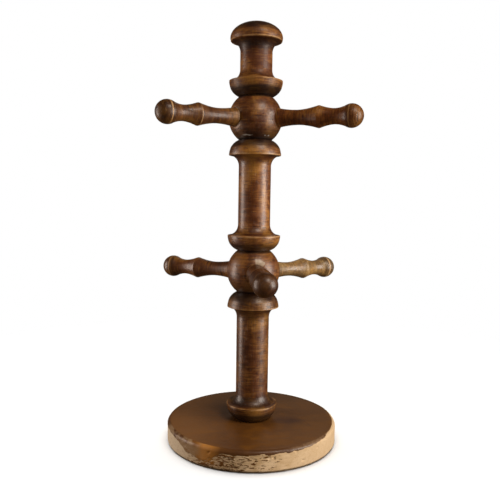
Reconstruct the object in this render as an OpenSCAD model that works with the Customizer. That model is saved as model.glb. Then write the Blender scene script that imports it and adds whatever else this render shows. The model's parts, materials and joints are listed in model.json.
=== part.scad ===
// Turned-wood mug tree: a round base, a post of spools and balls, and two tiers of three pegs.
// Millimetres, +Z up. The origin is the centre of the underside, on the table.
// The front of the object faces -Y, and +X is to the right of the front.

/* [Base] */
// Radius of the round base
base_r = 71.6; // [62:0.5:90]
// Thickness of the wooden disc
base_t = 16.8; // [12:0.5:20]
// Radius of the rounded top edge
base_edge_r = 3.4; // [1:0.2:4]
// Chamfer round the bottom edge
base_chamfer = 0.8; // [0.4:0.1:2]
// Thickness of the felt pad under the base
pad_t = 1; // [0.5:0.1:2]
// How far the pad stays in from the rim
pad_inset = 1.4; // [1:0.1:4]

/* [Post] */
// Height of the lower ball's centre above the table
lower_ball_z = 144.1; // [120:0.1:160]
// Height from the lower ball's centre to the upper ball's
tier_pitch = 126.3; // [100:0.1:160]
// Height from the upper ball's centre to the top of the finial
finial_h = 77.4; // [70:0.1:90]
// Radius of both balls
ball_r = 22.1; // [21:0.1:24]
// Height of each ball's flat above or below its centre
ball_flat_h = 17.5; // [16.5:0.1:18.5]
// Radius of the lower column's shaft
lower_shaft_r = 13.65; // [12:0.05:15]
// Radius of the upper column's shaft
upper_shaft_r = 13.4; // [12:0.05:15]
// Radius of the finial's neck
finial_neck_r = 13.2; // [12:0.05:15]

/* [Collars] */
// Radius of the collars under the balls
lower_collar_r = 21.65; // [20:0.05:23]
// Radius of the collars over the balls
upper_collar_r = 22.1; // [20:0.05:23]
// Height of a collar's round bead, from the ball's flat to the rim
collar_h = 12.7; // [11:0.1:14]
// Height of the straight lip at a collar's rim
collar_lip = 0.7; // [0.3:0.1:1.5]
// Height of the hollow curve between a collar and its shaft
cove_h = 9; // [6:0.5:11]
// Step from a collar's rim in to the hollow curve
cove_step = 1.2; // [0.6:0.1:2]

/* [Foot] */
// Radius of the foot's rim
foot_r = 21.4; // [19:0.1:24]
// Height of the foot's round bead, from the base to its rim
foot_h = 13.4; // [11:0.1:14]
// Height of the hollow curve above the foot's rim
foot_cove_h = 8.5; // [6:0.5:11]

/* [Finial] */
// Radius of the mushroom cap
cap_r = 21.5; // [20:0.1:24]
// Height of the cap's dome
cap_dome_h = 13.2; // [10:0.1:15]
// Height of the cap's edge under the dome
cap_edge_h = 2.4; // [1:0.1:4]

/* [Pegs] */
// Distance from the post's axis to the middle of a peg's round tip
tip_s = 81; // [78:0.5:90]
// Radius of a peg's round tip
tip_r = 9.35; // [8:0.05:10]
// Radius of the crest half way along a peg
crest_r = 9.05; // [8:0.05:10]
// Distance from the post's axis to the crest
crest_s = 54.8; // [50:0.2:58]
// Radius of a peg at the neck nearer the ball
inner_neck_r = 6; // [5.5:0.05:7]
// Radius of a peg at the neck nearer the tip
outer_neck_r = 6.25; // [5.5:0.05:7]
// Radius of a peg's shoulder against the ball
root_r = 7.9; // [7:0.1:9]
// Turn of the three upper pegs about the post, in degrees
upper_turn = 5.5; // [-30:0.5:30]
// Turn of the three lower pegs about the post, in degrees
lower_turn = 5; // [-30:0.5:30]

/* [Joints] */
// Radius of a peg's tenon
tenon_r = 5; // [4:0.25:5]
// Depth of a peg's tenon in the ball
tenon_l = 11.5; // [9:0.5:12]
// Radius of the dowels in the post
dowel_r = 5; // [4:0.25:5]
// Depth of a dowel in each piece that it joins
dowel_depth = 8.5; // [7:0.5:9]
// Radius of the foot's tenon in the base
foot_tenon_r = 9; // [7:0.5:10]
// Depth of the foot's tenon in the base
foot_tenon_l = 8; // [6:0.5:8]
// Glue gap round each tenon and dowel
glue_gap = 0.05; // [0.02:0.01:0.1]
// Free space at the bottom of each hole
hole_spare = 0.5; // [0.2:0.1:1]

/* [Screw] */
// Radius of the screw's shank and thread
screw_r = 2.1; // [1.7:0.1:2.4]
// Radius of the screw's countersunk head
screw_head_r = 4.1; // [3.5:0.1:4.6]
// Length of the screw
screw_l = 38; // [30:1:45]

/* [Hidden] */
$fn = 96;

// Colours
post_colour = [0.24, 0.13, 0.06];
ball_colour = [0.20, 0.11, 0.06];
peg_colour = [0.33, 0.18, 0.08];
base_colour = [0.34, 0.22, 0.11];
dowel_colour = [0.80, 0.66, 0.46];
steel_colour = [0.72, 0.72, 0.70];
felt_colour = [0.30, 0.21, 0.14];

// Heights of the post's joints, from the table up
base_top = pad_t + base_t;
upper_ball_z = lower_ball_z + tier_pitch;
total_h = upper_ball_z + finial_h;

// Turn and rise of each peg in degrees: the true direction plus how far its hole was drilled off it
upper_right = [60 + upper_turn + 0.4, -0.6];
upper_left = [-60 + upper_turn - 0.8, -1];
upper_rear = [180 + upper_turn, 0];
lower_front = [lower_turn + 0.8, -0.2];
lower_right = [120 + lower_turn + 1.6, -0.9];
lower_left = [-120 + lower_turn - 2.5, -0.6];

// A peg's length runs from its seat on the ball, s being the distance from the post's axis
seat_relief = 0.3;
seat_s = sqrt(ball_r * ball_r - root_r * root_r) - seat_relief;
inner_neck_s = 37.5;
outer_neck_s = 67.5;
tip_start = 121;
seat_clearance = 0.25;

// Screw
head_h = 2.6;
head_recess = 0.2;
thread_pitch = 2;
thread_depth = 0.6;
screw_tip_h = 4;
recess_w = 0.9;
recess_l = 4.6;
recess_depth = 1.6;
shank_gap = 0.1;
pilot_gap = 0.02;

// Steps along each curve
bead_steps = 12;
cove_steps = 10;
peg_steps = 10;
overlap = 1;

// Points from 0 to 1 in n steps
function steps(n) = [for (i = [0:n]) i / n];

// Arc with its widest point at [r, z], upright there, ending at [end_r, end_z]
function bead_arc(r, z, end_r, end_z) =
    let(h = end_z - z,
        middle = (r * r - end_r * end_r - h * h) / (2 * (r - end_r)),
        arc_r = r - middle,
        turn = atan2(h, end_r - middle))
    [for (t = steps(bead_steps)) [middle + arc_r * cos(turn * t), z + arc_r * sin(turn * t)]];

// Quarter of an ellipse from the shaft at [shaft_r, shaft_z], upright there, flat at [rim_r, rim_z]
function cove(shaft_r, shaft_z, rim_r, rim_z) =
    [for (t = steps(cove_steps)) [
        rim_r - (rim_r - shaft_r) * cos(90 * t),
        shaft_z + (rim_z - shaft_z) * sin(90 * t)
    ]];

// A curve that leaves [r0, s0] level and reaches [r1, s1], steeper with a larger power
function swell(r0, s0, r1, s1, power) =
    [for (t = steps(peg_steps)) [r0 + (r1 - r0) * pow(t, power), s0 + (s1 - s0) * t]];

function reversed(points) = [for (i = [len(points) - 1:-1:0]) points[i]];

flat_r = sqrt(ball_r * ball_r - ball_flat_h * ball_flat_h);
shaft_to_rim = 0.3;

// Outline of a collar from a flat at flat_z to its shaft. side is 1 for a collar that opens
// upwards and -1 for one that opens downwards
function collar(flat_z, side, rim_r, shaft_r, bead_h = collar_h, hollow_h = cove_h) =
    let(rim_z = flat_z + side * bead_h,
        lip_z = rim_z - side * collar_lip,
        arc = bead_arc(rim_r, lip_z, flat_r, flat_z),
        hollow = cove(shaft_r, rim_z + side * hollow_h, rim_r - cove_step, rim_z + side * shaft_to_rim))
    concat(reversed(arc), [[rim_r, rim_z]], reversed(hollow));

// A turned solid from a half outline of [radius, height] points
module turned(points) {
    rotate_extrude() polygon(points);
}

// Places a peg's own shape: its length along +Z is laid out from the ball's centre
module at_peg(ball_z, direction) {
    translate([0, 0, ball_z])
        rotate([0, 0, direction[0] - 90])
        rotate([0, 90 - direction[1], 0])
        children();
}

// Blind hole for a dowel, running down from height z
module dowel_hole(z) {
    translate([0, 0, z - dowel_depth - hole_spare])
        cylinder(r = dowel_r + glue_gap, h = dowel_depth + hole_spare + overlap);
}

// Blind hole for a dowel, running up from height z
module dowel_hole_up(z) {
    translate([0, 0, z - overlap])
        cylinder(r = dowel_r + glue_gap, h = dowel_depth + hole_spare + overlap);
}

module base_disc() {
    socket_depth = foot_tenon_l + hole_spare;
    edge_turn = [for (t = steps(bead_steps)) [
        base_r - base_edge_r * (1 - cos(90 * t)),
        base_top - base_edge_r * (1 - sin(90 * t))
    ]];
    color(base_colour) difference() {
        turned(concat(
            [[0, pad_t], [base_r - base_chamfer, pad_t], [base_r, pad_t + base_chamfer]],
            edge_turn,
            [[0, base_top]]));
        translate([0, 0, base_top - socket_depth])
            cylinder(r = foot_tenon_r + glue_gap, h = socket_depth + overlap);
        translate([0, 0, pad_t - overlap])
            cylinder(r = screw_r + shank_gap, h = base_t);
        translate([0, 0, pad_t - overlap])
            cylinder(r = screw_head_r + shank_gap, h = head_recess + overlap);
        translate([0, 0, pad_t + head_recess])
            cylinder(r1 = screw_head_r + shank_gap, r2 = screw_r + shank_gap, h = head_h);
    }
}

module felt_pad() {
    color(felt_colour) cylinder(r = base_r - pad_inset, h = pad_t);
}

// Wood screw, head down in the base and point up in the foot
module base_screw() {
    head_z = pad_t + head_recess;
    top_z = head_z + screw_l;
    thread_z = base_top;
    turns = floor((top_z - screw_tip_h - thread_z) / thread_pitch);
    thread = [for (i = [0:turns - 1]) each [
        [screw_r - thread_depth, thread_z + i * thread_pitch],
        [screw_r, thread_z + (i + 0.5) * thread_pitch]
    ]];
    color(steel_colour) difference() {
        turned(concat(
            [[0, head_z], [screw_head_r, head_z], [screw_r, head_z + head_h]],
            [[screw_r, thread_z - thread_depth]],
            thread,
            [[screw_r - thread_depth, thread_z + turns * thread_pitch], [0, top_z]]));
        for (turn = [0, 90]) rotate([0, 0, turn])
            translate([-recess_l / 2, -recess_w / 2, head_z - overlap])
            cube([recess_l, recess_w, recess_depth + overlap]);
    }
}

module lower_column() {
    top_z = lower_ball_z - ball_flat_h;
    screw_top = pad_t + head_recess + screw_l;
    color(post_colour) difference() {
        turned(concat(
            [[0, base_top - foot_tenon_l], [foot_tenon_r, base_top - foot_tenon_l]],
            [[foot_tenon_r, base_top]],
            collar(base_top, 1, foot_r, lower_shaft_r, foot_h, foot_cove_h),
            reversed(collar(top_z, -1, lower_collar_r, lower_shaft_r)),
            [[0, top_z]]));
        dowel_hole(top_z);
        translate([0, 0, base_top - foot_tenon_l - overlap])
            cylinder(r = screw_r + pilot_gap, h = screw_top - base_top + foot_tenon_l + overlap + hole_spare);
    }
}

module upper_column() {
    low_z = lower_ball_z + ball_flat_h;
    top_z = upper_ball_z - ball_flat_h;
    color(post_colour) difference() {
        turned(concat(
            [[0, low_z]],
            collar(low_z, 1, upper_collar_r, upper_shaft_r),
            reversed(collar(top_z, -1, lower_collar_r, upper_shaft_r)),
            [[0, top_z]]));
        dowel_hole_up(low_z);
        dowel_hole(top_z);
    }
}

module finial() {
    low_z = upper_ball_z + ball_flat_h;
    widest_z = total_h - cap_dome_h;
    under_z = widest_z - cap_edge_h;
    under_r = cap_r - 0.3;
    dome = [for (t = steps(bead_steps)) [cap_r * cos(90 * t), widest_z + cap_dome_h * sin(90 * t)]];
    color(post_colour) difference() {
        turned(concat(
            [[0, low_z]],
            collar(low_z, 1, upper_collar_r, finial_neck_r),
            cove(finial_neck_r, under_z - cove_h, under_r - cove_step, under_z - shaft_to_rim),
            [[under_r, under_z]],
            dome));
        dowel_hole_up(low_z);
    }
}

// Ball with a flat top and bottom, a dowel hole in each, and a seat and hole for each peg
module drilled_ball(ball_z, directions) {
    color(ball_colour) difference() {
        intersection() {
            translate([0, 0, ball_z]) sphere(r = ball_r);
            translate([0, 0, ball_z - ball_flat_h])
                cylinder(r = ball_r + overlap, h = 2 * ball_flat_h);
        }
        dowel_hole_up(ball_z - ball_flat_h);
        dowel_hole(ball_z + ball_flat_h);
        for (direction = directions) at_peg(ball_z, direction) {
            translate([0, 0, seat_s]) cylinder(r = root_r + seat_clearance, h = ball_r);
            translate([0, 0, seat_s - tenon_l - hole_spare])
                cylinder(r = tenon_r + glue_gap, h = tenon_l + hole_spare + overlap);
        }
    }
}

module lower_ball() {
    drilled_ball(lower_ball_z, [lower_front, lower_right, lower_left]);
}

module upper_ball() {
    drilled_ball(upper_ball_z, [upper_right, upper_left, upper_rear]);
}

// Loose dowel across the joint at height z
module dowel(z) {
    color(dowel_colour) translate([0, 0, z - dowel_depth])
        cylinder(r = dowel_r, h = 2 * dowel_depth);
}

module dowel_below_lower_ball() {
    dowel(lower_ball_z - ball_flat_h);
}

module dowel_above_lower_ball() {
    dowel(lower_ball_z + ball_flat_h);
}

module dowel_below_upper_ball() {
    dowel(upper_ball_z - ball_flat_h);
}

module dowel_above_upper_ball() {
    dowel(upper_ball_z + ball_flat_h);
}

// Turned peg: tenon, shoulder, two hollows with a crisp crest between them, and a round tip
module peg(ball_z, direction) {
    tip_arc = [for (t = steps(bead_steps))
        let(a = tip_start * (1 - t))
        [tip_r * sin(a), tip_s + tip_r * cos(a)]];
    inner_hollow = reversed(swell(inner_neck_r, inner_neck_s, root_r, seat_s, 2));
    rise = swell(inner_neck_r, inner_neck_s, crest_r, crest_s, 1.7);
    fall = reversed(swell(outer_neck_r, outer_neck_s, crest_r, crest_s, 1.7));
    outer_hollow = swell(outer_neck_r, outer_neck_s, tip_arc[0][0], tip_arc[0][1], 2);
    color(peg_colour) at_peg(ball_z, direction) turned(concat(
        [[0, seat_s - tenon_l], [tenon_r, seat_s - tenon_l], [tenon_r, seat_s]],
        inner_hollow,
        [for (i = [1:peg_steps]) rise[i]],
        [for (i = [1:peg_steps]) fall[i]],
        [for (i = [1:peg_steps]) outer_hollow[i]],
        [for (i = [1:bead_steps - 1]) tip_arc[i]],
        [[0, tip_s + tip_r]]));
}

module peg_upper_right() {
    peg(upper_ball_z, upper_right);
}

module peg_upper_left() {
    peg(upper_ball_z, upper_left);
}

module peg_upper_rear() {
    peg(upper_ball_z, upper_rear);
}

module peg_lower_front() {
    peg(lower_ball_z, lower_front);
}

module peg_lower_right() {
    peg(lower_ball_z, lower_right);
}

module peg_lower_left() {
    peg(lower_ball_z, lower_left);
}

base_disc();
felt_pad();
base_screw();
lower_column();
lower_ball();
upper_column();
upper_ball();
finial();
dowel_below_lower_ball();
dowel_above_lower_ball();
dowel_below_upper_ball();
dowel_above_upper_ball();
peg_upper_right();
peg_upper_left();
peg_upper_rear();
peg_lower_front();
peg_lower_right();
peg_lower_left();
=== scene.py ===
import json
import math
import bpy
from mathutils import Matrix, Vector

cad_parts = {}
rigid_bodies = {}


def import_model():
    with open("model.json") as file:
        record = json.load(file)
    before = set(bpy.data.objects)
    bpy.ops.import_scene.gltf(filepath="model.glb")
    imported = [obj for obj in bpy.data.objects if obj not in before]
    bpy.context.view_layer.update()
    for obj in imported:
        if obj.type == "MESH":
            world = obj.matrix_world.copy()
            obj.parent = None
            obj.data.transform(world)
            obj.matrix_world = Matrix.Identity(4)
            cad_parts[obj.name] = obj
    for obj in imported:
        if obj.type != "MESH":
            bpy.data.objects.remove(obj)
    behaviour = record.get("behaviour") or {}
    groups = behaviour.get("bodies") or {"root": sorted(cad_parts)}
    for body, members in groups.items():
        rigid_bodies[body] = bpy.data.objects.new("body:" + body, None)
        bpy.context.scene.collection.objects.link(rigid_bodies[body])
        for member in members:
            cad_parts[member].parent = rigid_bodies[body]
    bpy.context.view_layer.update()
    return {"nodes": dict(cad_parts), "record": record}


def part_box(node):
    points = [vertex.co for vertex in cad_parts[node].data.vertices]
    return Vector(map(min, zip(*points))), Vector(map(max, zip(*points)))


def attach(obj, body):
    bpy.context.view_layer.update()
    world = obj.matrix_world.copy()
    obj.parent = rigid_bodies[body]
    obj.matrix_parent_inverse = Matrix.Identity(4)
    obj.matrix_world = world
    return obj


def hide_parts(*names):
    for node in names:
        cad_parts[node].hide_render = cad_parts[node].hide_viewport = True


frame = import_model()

from types import SimpleNamespace

import bpy
import numpy as np
from mathutils import Matrix, Vector

# Turned-wood mug tree. Lengths in the outlines are millimetres; MM turns them into metres.
MM = 0.001

# ---------------------------------------------------------------- places, from the frame


def reach(node):
    """Lowest and highest z of a CAD node, in millimetres."""
    low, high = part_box(node)
    return low.z / MM, high.z / MM


def outer_radius(node):
    """Half the width of an upright round CAD node, in millimetres."""
    low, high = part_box(node)
    return (high.x - low.x) / 2 / MM


PAD_LOW, PAD_TOP = reach("felt_pad")
BASE_TOP = reach("base_disc")[1]
FOOT_TENON_LOW = reach("lower_column")[0]
LOWER_FLATS = reach("lower_ball")
UPPER_FLATS = reach("upper_ball")
LOWER_BALL_Z = sum(LOWER_FLATS) / 2
UPPER_BALL_Z = sum(UPPER_FLATS) / 2
FLAT_H = LOWER_FLATS[1] - LOWER_BALL_Z
TOTAL_H = reach("finial")[1]
DOWEL_DEPTH = LOWER_FLATS[0] - reach("dowel_below_lower_ball")[0]

# ---------------------------------------------------------------- sizes of the turning, in mm

BALL_R = 22.1
SHAFT_R = {"lower": 13.65, "upper": 13.4, "finial": 13.2}
COLLAR_R = {"under": 21.65, "over": 22.1}
COLLAR_H = 12.7
COLLAR_LIP = 0.7
COVE_H = 9.0
COVE_STEP = 1.2
COVE_END = 0.3
BAND_H = 6.5
BAND_BULGE = 0.55
FOOT_R = 21.4
FOOT_H = 13.4
FOOT_COVE_H = 8.5
FOOT_TENON_R = 9.0
CAP_R = 21.5
CAP_DOME_H = 13.2
CAP_EDGE_H = 2.4
CAP_UNDER_R = CAP_R - 0.3
BASE_R = outer_radius("base_disc")
BASE_EDGE_R = 3.4
BASE_CHAMFER = 0.8
PAD_R = outer_radius("felt_pad")
GLUE_GAP = 0.05
DOWEL_HOLE_R = 5.0 + GLUE_GAP
HOLE_SPARE = 0.5
PILOT_R = 2.12
PILOT_TOP = 40.0
SCREW_HOLE_R = 2.2
SCREW_HEAD_R = 4.2
SCREW_HEAD_H = 2.6
HEAD_RECESS = 0.2
PEG_TENON_R = 5.0
PEG_TENON_L = 11.5
PEG_ROOT_R = 7.9
PEG_SEAT_CLEARANCE = 0.25
PEG_SEAT_RELIEF = 0.3
CUTTER_SPARE = 4.0
PEG_NECK = {"inner": (6.0, 37.5), "outer": (6.25, 67.5)}
PEG_CREST = (9.05, 54.8)
PEG_TIP_R = 9.35
PEG_TIP_S = 81.0
PEG_TIP_TURN = 121.0
PEG_SEAT_S = math.sqrt(BALL_R**2 - PEG_ROOT_R**2) - PEG_SEAT_RELIEF
# How finely outlines are sampled before their points are chosen
SAMPLE = 0.05

# ---------------------------------------------------------------- small numbers worked on arrays


def smooth_step(low, high, x):
    """0 below low, 1 above high, an S-shaped cubic between them."""
    t = np.clip((x - low) / (high - low), 0, 1)
    return t * t * (3 - 2 * t)


def circle(around):
    """Turns of the points in a ring, in radians, as a row."""
    return np.linspace(0, 2 * math.pi, around, endpoint=False)[None, :]


def lattice_value(ix, iy, iz, seed):
    """A fixed pseudo-random number from -1 to 1 for each whole-number point, by an integer hash."""
    h = (ix * 374761393 + iy * 668265263 + iz * 2147483647 + seed * 1274126177) & 0xFFFFFFFF
    h = ((h ^ (h >> 13)) * 1103515245) & 0xFFFFFFFF
    h = ((h ^ (h >> 16)) * 69069) & 0xFFFFFFFF
    return ((h ^ (h >> 15)) & 0xFFFF) / 32767.5 - 1


def lumps(points, size, seed, octaves=3):
    """Smooth noise from about -1 to 1: lattice values blended by a cubic between whole-number
    points of points / size, with halved size and height for each further octave."""
    total, height = 0.0, 1.0
    scaled = np.asarray(points, float) / np.asarray(size, float)
    for octave in range(octaves):
        cell = np.floor(scaled).astype(np.int64)
        t = scaled - cell
        t = t * t * (3 - 2 * t)
        value = 0.0
        for corner in range(8):
            bit = [(corner >> k) & 1 for k in range(3)]
            weight = np.prod([t[..., k] if bit[k] else 1 - t[..., k] for k in range(3)], axis=0)
            value = value + weight * lattice_value(*[cell[..., k] + bit[k] for k in range(3)], seed + octave)
        total = total + height * value
        height *= 0.5
        scaled = scaled * 2.03
    return total


# ---------------------------------------------------------------- outlines: radius against length


def bead_arc(r, z, end_r, end_z, count=24):
    """Arc of a circle with its widest point at (r, z), upright there, ending at (end_r, end_z)."""
    h = end_z - z
    middle = (r * r - end_r * end_r - h * h) / (2 * (r - end_r))
    turn = math.atan2(h, end_r - middle) * np.linspace(0, 1, count)
    return np.stack([middle + (r - middle) * np.cos(turn), z + (r - middle) * np.sin(turn)], 1)


def cove(shaft_r, shaft_z, rim_r, rim_z, count=24):
    """Quarter of an ellipse: upright where it leaves the shaft, level where it meets the rim."""
    turn = np.linspace(0, math.pi / 2, count)
    return np.stack([rim_r - (rim_r - shaft_r) * np.cos(turn), shaft_z + (rim_z - shaft_z) * np.sin(turn)], 1)


def swell(r0, s0, r1, s1, power, count=20):
    """Curve that leaves (r0, s0) level and reaches (r1, s1) as t to the given power."""
    t = np.linspace(0, 1, count)
    return np.stack([r0 + (r1 - r0) * t**power, s0 + (s1 - s0) * t], 1)


def collar(flat_z, side, rim_r, shaft_r, bead_h=COLLAR_H, hollow_h=COVE_H):
    """Outline from a flat to the shaft: a bead arc, flattened to a band near the rim, a straight
    lip, a step in, and a cove. side is 1 for a collar that opens upwards and -1 for one that
    opens downwards. The band keeps only a share of the arc's bulge over its own chord."""
    flat_r = math.sqrt(BALL_R**2 - FLAT_H**2)
    rim_z = flat_z + side * bead_h
    arc = bead_arc(rim_r, rim_z - side * COLLAR_LIP, flat_r, flat_z, 60)
    below_rim = side * (rim_z - arc[:, 1])
    band = below_rim < BAND_H
    chord = np.interp(below_rim[band], below_rim[band][[0, -1]], arc[band, 0][[0, -1]])
    arc[band, 0] = chord + BAND_BULGE * (arc[band, 0] - chord)
    hollow = cove(shaft_r, rim_z + side * hollow_h, rim_r - COVE_STEP, rim_z + side * COVE_END)
    return np.concatenate([arc[::-1], [[rim_r, rim_z]], hollow[::-1]])


def blind_hole(z, side, r=DOWEL_HOLE_R, depth=DOWEL_DEPTH + HOLE_SPARE):
    """Outline from the axis at a hole's bottom out to its mouth at z. side is 1 if it opens upwards."""
    bottom = z - side * depth
    return np.array([[0, bottom], [r, bottom], [r, z]])


def bell_curve(width, reach_n):
    """Weights of a bell curve of a width in mm over samples either side, adding up to 1."""
    bell = np.exp(-0.5 * (np.arange(-reach_n, reach_n + 1) * SAMPLE / width) ** 2)
    return bell / bell.sum()


def sampled(outline):
    """Distances along an outline every SAMPLE mm, and the points there."""
    length = np.concatenate([[0], np.cumsum(np.hypot(*np.diff(outline, axis=0).T))])
    s = np.linspace(0, length[-1], int(length[-1] / SAMPLE) + 1)
    return s, np.stack([np.interp(s, length, outline[:, k]) for k in (0, 1)], 1)


def normals(along):
    """Unit normals of an outline, to the right of its direction, with the unit direction."""
    along = along / np.maximum(np.hypot(*along.T), 1e-9)[:, None]
    return along, np.stack([along[:, 1], -along[:, 0]], 1)


def eased(outline, ease=0.16, near=0.14, far=0.6, hollow_scale=1.6):
    """Softens an outline's corners and spaces its points by how sharply it bends.
    The sampled outline is averaged with a bell curve of width ease. The wear measure is how far
    that stands out, along its normal, from the same outline averaged with a bell curve of width
    hollow_scale: above 0 on edges, below 0 in hollows.
    Gives radius, length, the normal's two parts and the measure, at the new points."""
    s, line = sampled(outline)
    mirrored = line[::-1] * [-1, 1]
    padded = np.concatenate([mirrored[:-1], line, mirrored[1:]])

    def averaged(width):
        bell = bell_curve(width, int(4 * width / SAMPLE))
        full = np.stack([np.convolve(padded[:, k], bell, "same") for k in (0, 1)], 1)
        return full[len(line) - 1:2 * len(line) - 1]

    fine = averaged(ease)
    coarse = averaged(hollow_scale)
    along, normal = normals(np.gradient(fine, axis=0))
    stand_out = ((fine - coarse) * normal).sum(1)
    bend = np.abs(np.gradient(np.unwrap(np.arctan2(along[:, 1], along[:, 0])), s))
    gap = np.clip(0.09 / np.maximum(bend, 1e-6), near, far)
    rank = np.concatenate([[0], np.cumsum(np.diff(s) / gap[1:])])
    chosen = np.interp(np.linspace(0, rank[-1], int(rank[-1]) + 2), rank, s)
    fine[0, 0] = fine[-1, 0] = 0
    pick = [np.interp(chosen, s, v) for v in (*fine.T, *normal.T, stand_out)]
    pick[0][[0, -1]] = 0
    return pick


# ---------------------------------------------------------------- meshes


def mesh_from_rings(name, rings):
    """A closed mesh from an array of rings (ring, point, xyz). The first and last rings are poles,
    so each becomes one point with a fan. Faces point outwards when the rings climb."""
    count, around = rings.shape[:2]
    points = np.concatenate([rings[:1, 0], rings[1:-1].reshape(-1, 3), rings[-1:, 0]])
    j = np.arange(around)
    nxt = (j + 1) % around
    row = 1 + np.arange(count - 2)[:, None] * around
    quads = np.stack([row[:-1] + j, row[:-1] + nxt, row[1:] + nxt, row[1:] + j], -1).reshape(-1, 4)
    low_fan = np.stack([np.zeros_like(j), 1 + nxt, 1 + j], 1)
    top = row[-1, 0]
    high_fan = np.stack([np.full_like(j, len(points) - 1), top + j, top + nxt], 1)
    corners = np.concatenate([quads.ravel(), low_fan.ravel(), high_fan.ravel()])
    sizes = np.concatenate([np.full(len(quads), 4), np.full(2 * around, 3)])
    mesh = bpy.data.meshes.new(name)
    mesh.vertices.add(len(points))
    mesh.vertices.foreach_set("co", points.astype(np.float32).ravel())
    mesh.loops.add(len(corners))
    mesh.loops.foreach_set("vertex_index", corners.astype(np.int32))
    mesh.polygons.add(len(sizes))
    mesh.polygons.foreach_set("loop_start", np.concatenate([[0], np.cumsum(sizes)[:-1]]).astype(np.int32))
    mesh.polygons.foreach_set("use_smooth", np.ones(len(sizes), bool))
    mesh.update(calc_edges=True)
    mesh.validate()
    return mesh


def drop_to_vertices(values, count, around):
    """Values on a (ring, point) grid, laid out as mesh_from_rings lays out its points."""
    grid = np.broadcast_to(values, (count, around))
    return np.concatenate([grid[:1, 0], grid[1:-1].ravel(), grid[-1:, 0]])


def set_attribute(mesh, name, values, kind="FLOAT"):
    """Stores one value, or one vector, for each point of a mesh."""
    attribute = mesh.attributes.new(name, kind, "POINT")
    key = "value" if kind == "FLOAT" else "vector"
    attribute.data.foreach_set(key, np.asarray(values, np.float32).ravel())


def object_from(name, mesh, node, material):
    """Links a finished mesh as the piece that stands for a CAD node."""
    piece = bpy.data.objects.new(name, mesh)
    bpy.context.scene.collection.objects.link(piece)
    mesh.materials.append(material)
    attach(piece, "root")
    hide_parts(node)
    return piece


def turned_points(radius, length, turn):
    """Points of a surface of revolution: (r cos a, r sin a, length)."""
    cos, sin = np.cos(turn), np.sin(turn)
    return np.stack([radius * cos, radius * sin, np.broadcast_to(length, radius.shape)], -1)


def collar_zones(plain, collars):
    """Two measures for points near collars, each given as its rim's height, its side, and how dark the
    painted shade on its cup and in its cove is: how far into the rubbed band by the rim a point lies, and how
    much painted shade it gets, which grows from the rim down the cup. The cove beyond the rim gets painted
    shade too."""
    r = np.hypot(plain[..., 0], plain[..., 1])
    band, bowl = np.zeros(r.shape), np.zeros(r.shape)
    for rim_z, side, dark, cove_dark in collars:
        below = side * (rim_z - plain[..., 2])
        near = smooth_step(-0.5, 0.0, below) * smooth_step(COLLAR_H + 1.5, COLLAR_H, below)
        near = near * (r > DOWEL_HOLE_R + 1)
        band = np.maximum(band, near * smooth_step(BAND_H + 0.25, BAND_H - 0.25, below))
        beyond = smooth_step(0.3, -1.0, below) * smooth_step(-COVE_H - 2, -COVE_H * 0.5, below)
        bowl = np.maximum(bowl, cove_dark * beyond)
        bowl = np.maximum(bowl, near * (0.18 + 0.82 * smooth_step(3, 11, below)) * dark)
    return band, bowl


def hand_turned(outline, seed, around, rubbed=0.0, nicks=0.0, extra_wear=None):
    """Grid of a hand-turned piece, in mm, and its wear and hollow measures.
    Each ring's point moves along the outline's normal by a low wave round the axis, shallow tool
    marks that depend mostly on length, and worn spots where edges stand out."""
    r, z, nr, nz, stand_out = eased(outline)
    turn = circle(around)
    r, z, nr, nz, stand_out = (v[:, None] for v in (r, z, nr, nz, stand_out))
    plain = turned_points(r + 0 * turn, z, turn)
    edge = smooth_step(0.19, 0.42, stand_out)
    hollow = smooth_step(0.22, 0.60, -stand_out)
    wave = 0.05 * lumps(plain, 30, seed, 2)
    marks = 0.014 * lumps(plain, (26, 26, 0.9), seed + 11, 2)
    rub = edge * (0.35 + 0.65 * smooth_step(-0.25, 0.5, lumps(plain, (9, 9, 9), seed + 23, 2)))
    dents = smooth_step(0.62, 1.15, lumps(plain, (3.2, 3.2, 2.4), seed + 37, 2)) * nicks
    shift = wave + marks - 0.10 * rub * (1 + rubbed) - 0.22 * dents * (0.35 + edge)
    shift = shift * smooth_step(0.3, 3.0, r)
    wear = np.clip(rub + 0.5 * dents * edge, 0, 1)
    if extra_wear is not None:
        wear = np.maximum(wear, extra_wear(plain))
    grid = turned_points(r + nr * shift, z, turn)
    grid[..., 2] = z + nz * shift
    return grid, wear, hollow


def turned_piece(name, outline, node, slot, material, seed, around=176, place=None, collars=(), shaded=None,
                 **options):
    """A hand-turned piece as a closed mesh. place turns and moves the grid from its own lathe
    position, along +Z from the origin, to where it belongs. The lathe attribute keeps each
    point's place on the lathe, so that grain and rings follow the piece's own axis."""
    grid, wear, hollow = hand_turned(outline, seed, around, **options)
    count = grid.shape[0]
    rings = (grid if place is None else place(grid)) * MM
    mesh = mesh_from_rings(name, rings)
    lathe_points = np.concatenate([grid[:1, 0], grid[1:-1].reshape(-1, 3), grid[-1:, 0]])
    set_attribute(mesh, "lathe", lathe_points, "FLOAT_VECTOR")
    set_attribute(mesh, "wear", drop_to_vertices(wear, count, around))
    # The hollow measure drives the painted black shade in hollows and grooves.
    set_attribute(mesh, "hollow", drop_to_vertices(hollow, count, around))
    # The second measure from collar_zones is painted shade; the peg tips' darker stain is added to it.
    band, bowl = collar_zones(lathe_points, collars)
    if shaded is not None:
        bowl = np.maximum(bowl, shaded(lathe_points))
    set_attribute(mesh, "band", band)
    set_attribute(mesh, "bowl", bowl)
    return object_from(name, mesh, node, material)


# ---------------------------------------------------------------- finishes


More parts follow.
